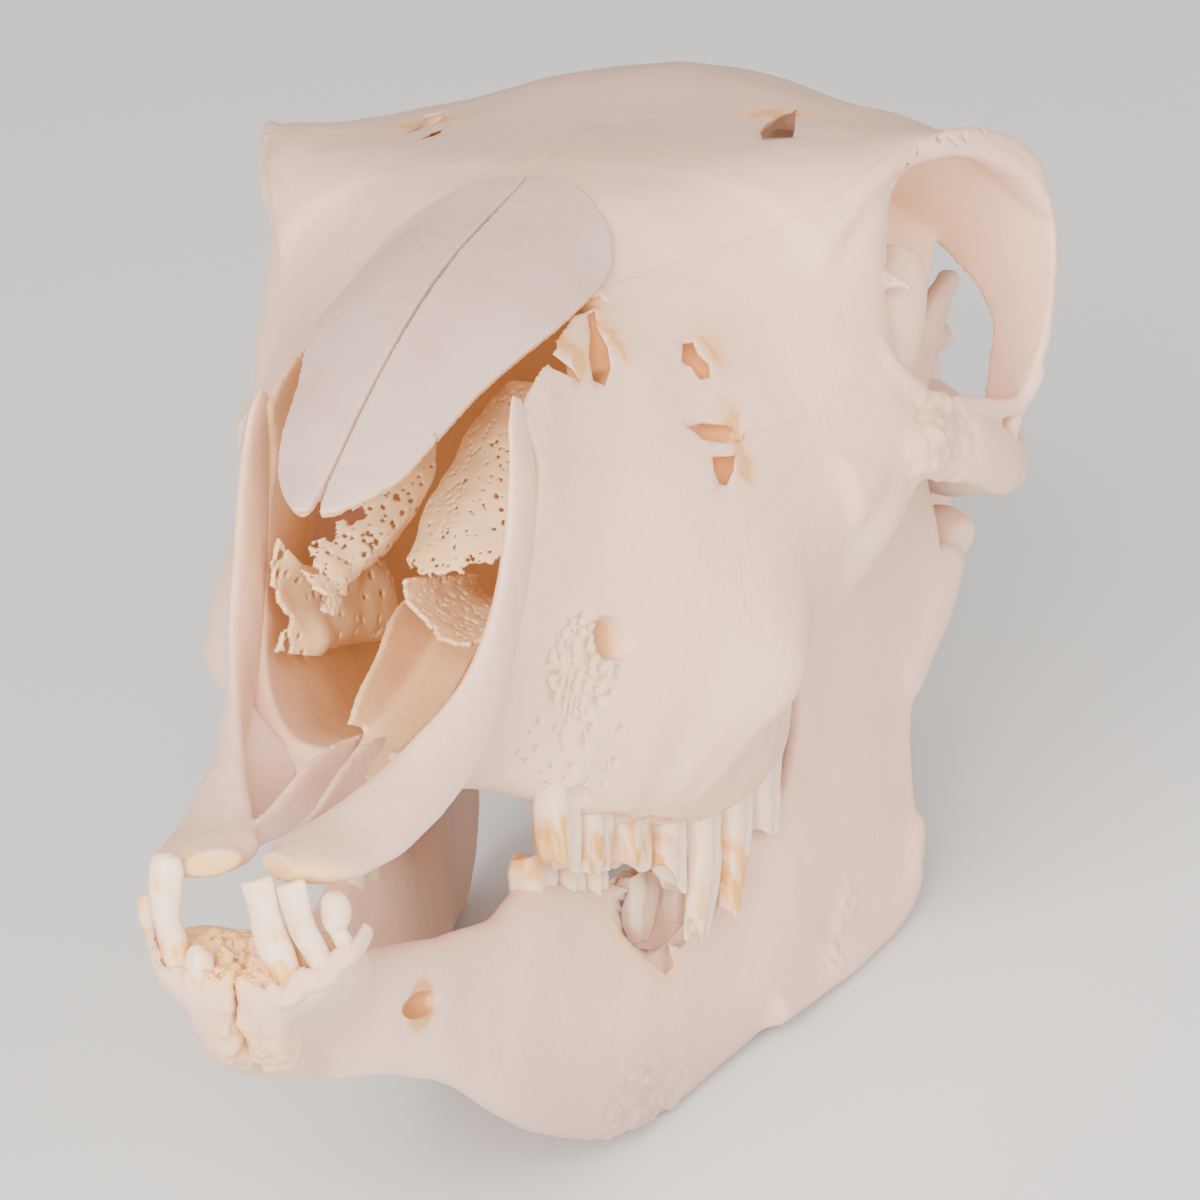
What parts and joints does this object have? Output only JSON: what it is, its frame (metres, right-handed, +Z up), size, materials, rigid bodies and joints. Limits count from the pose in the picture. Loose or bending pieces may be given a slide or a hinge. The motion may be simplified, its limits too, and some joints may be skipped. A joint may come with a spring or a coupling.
{
  "type": "sheep skull",
  "caption": "Dry skull of a young hornless sheep with both halves of the lower jaw, standing on its jaw with the open nose in front.",
  "frame": {"origin": "centre of the footprint, on the floor the skull stands on", "axes": "+Z up, +Y to the back of the head, -Y where the nose points, +X to the animal's left"},
  "size_m": [0.1244, 0.2368, 0.1256],
  "materials": {
    "bone": "dry porous bone, matt to satin, pale pinkish cream",
    "nasal_bone": "smooth thin bone, satin, cool lilac grey",
    "inner_bone": "paper-thin porous bone, matt, warm peach",
    "tooth": "enamel, semi-gloss, ivory with amber stains"
  },
  "bodies": {
    "root": {"cranium": "bone", "nasal_left": "nasal_bone", "nasal_right": "nasal_bone", "premaxilla_left": "bone", "premaxilla_right": "bone", "concha_left": "inner_bone", "concha_right": "inner_bone", "vomer": "inner_bone", "mandible_left": "bone", "mandible_right": "bone", "upper_tooth_left_1": "tooth", "upper_tooth_left_2": "tooth", "upper_tooth_left_3": "tooth", "upper_tooth_left_4": "tooth", "upper_tooth_left_5": "tooth", "upper_tooth_left_6": "tooth", "upper_tooth_left_7": "tooth", "lower_tooth_left_1": "tooth", "lower_tooth_left_2": "tooth", "lower_tooth_left_3": "tooth", "lower_tooth_left_4": "tooth", "lower_tooth_left_5": "tooth", "incisor_left_1": "tooth", "incisor_left_2": "tooth", "incisor_left_3": "tooth", "upper_tooth_right_1": "tooth", "upper_tooth_right_2": "tooth", "upper_tooth_right_3": "tooth", "upper_tooth_right_4": "tooth", "upper_tooth_right_5": "tooth", "upper_tooth_right_6": "tooth", "upper_tooth_right_7": "tooth", "lower_tooth_right_1": "tooth", "lower_tooth_right_2": "tooth", "lower_tooth_right_3": "tooth", "lower_tooth_right_4": "tooth", "lower_tooth_right_5": "tooth", "incisor_right_1": "tooth", "incisor_right_2": "tooth", "incisor_right_3": "tooth"}
  },
  "joints": []
}
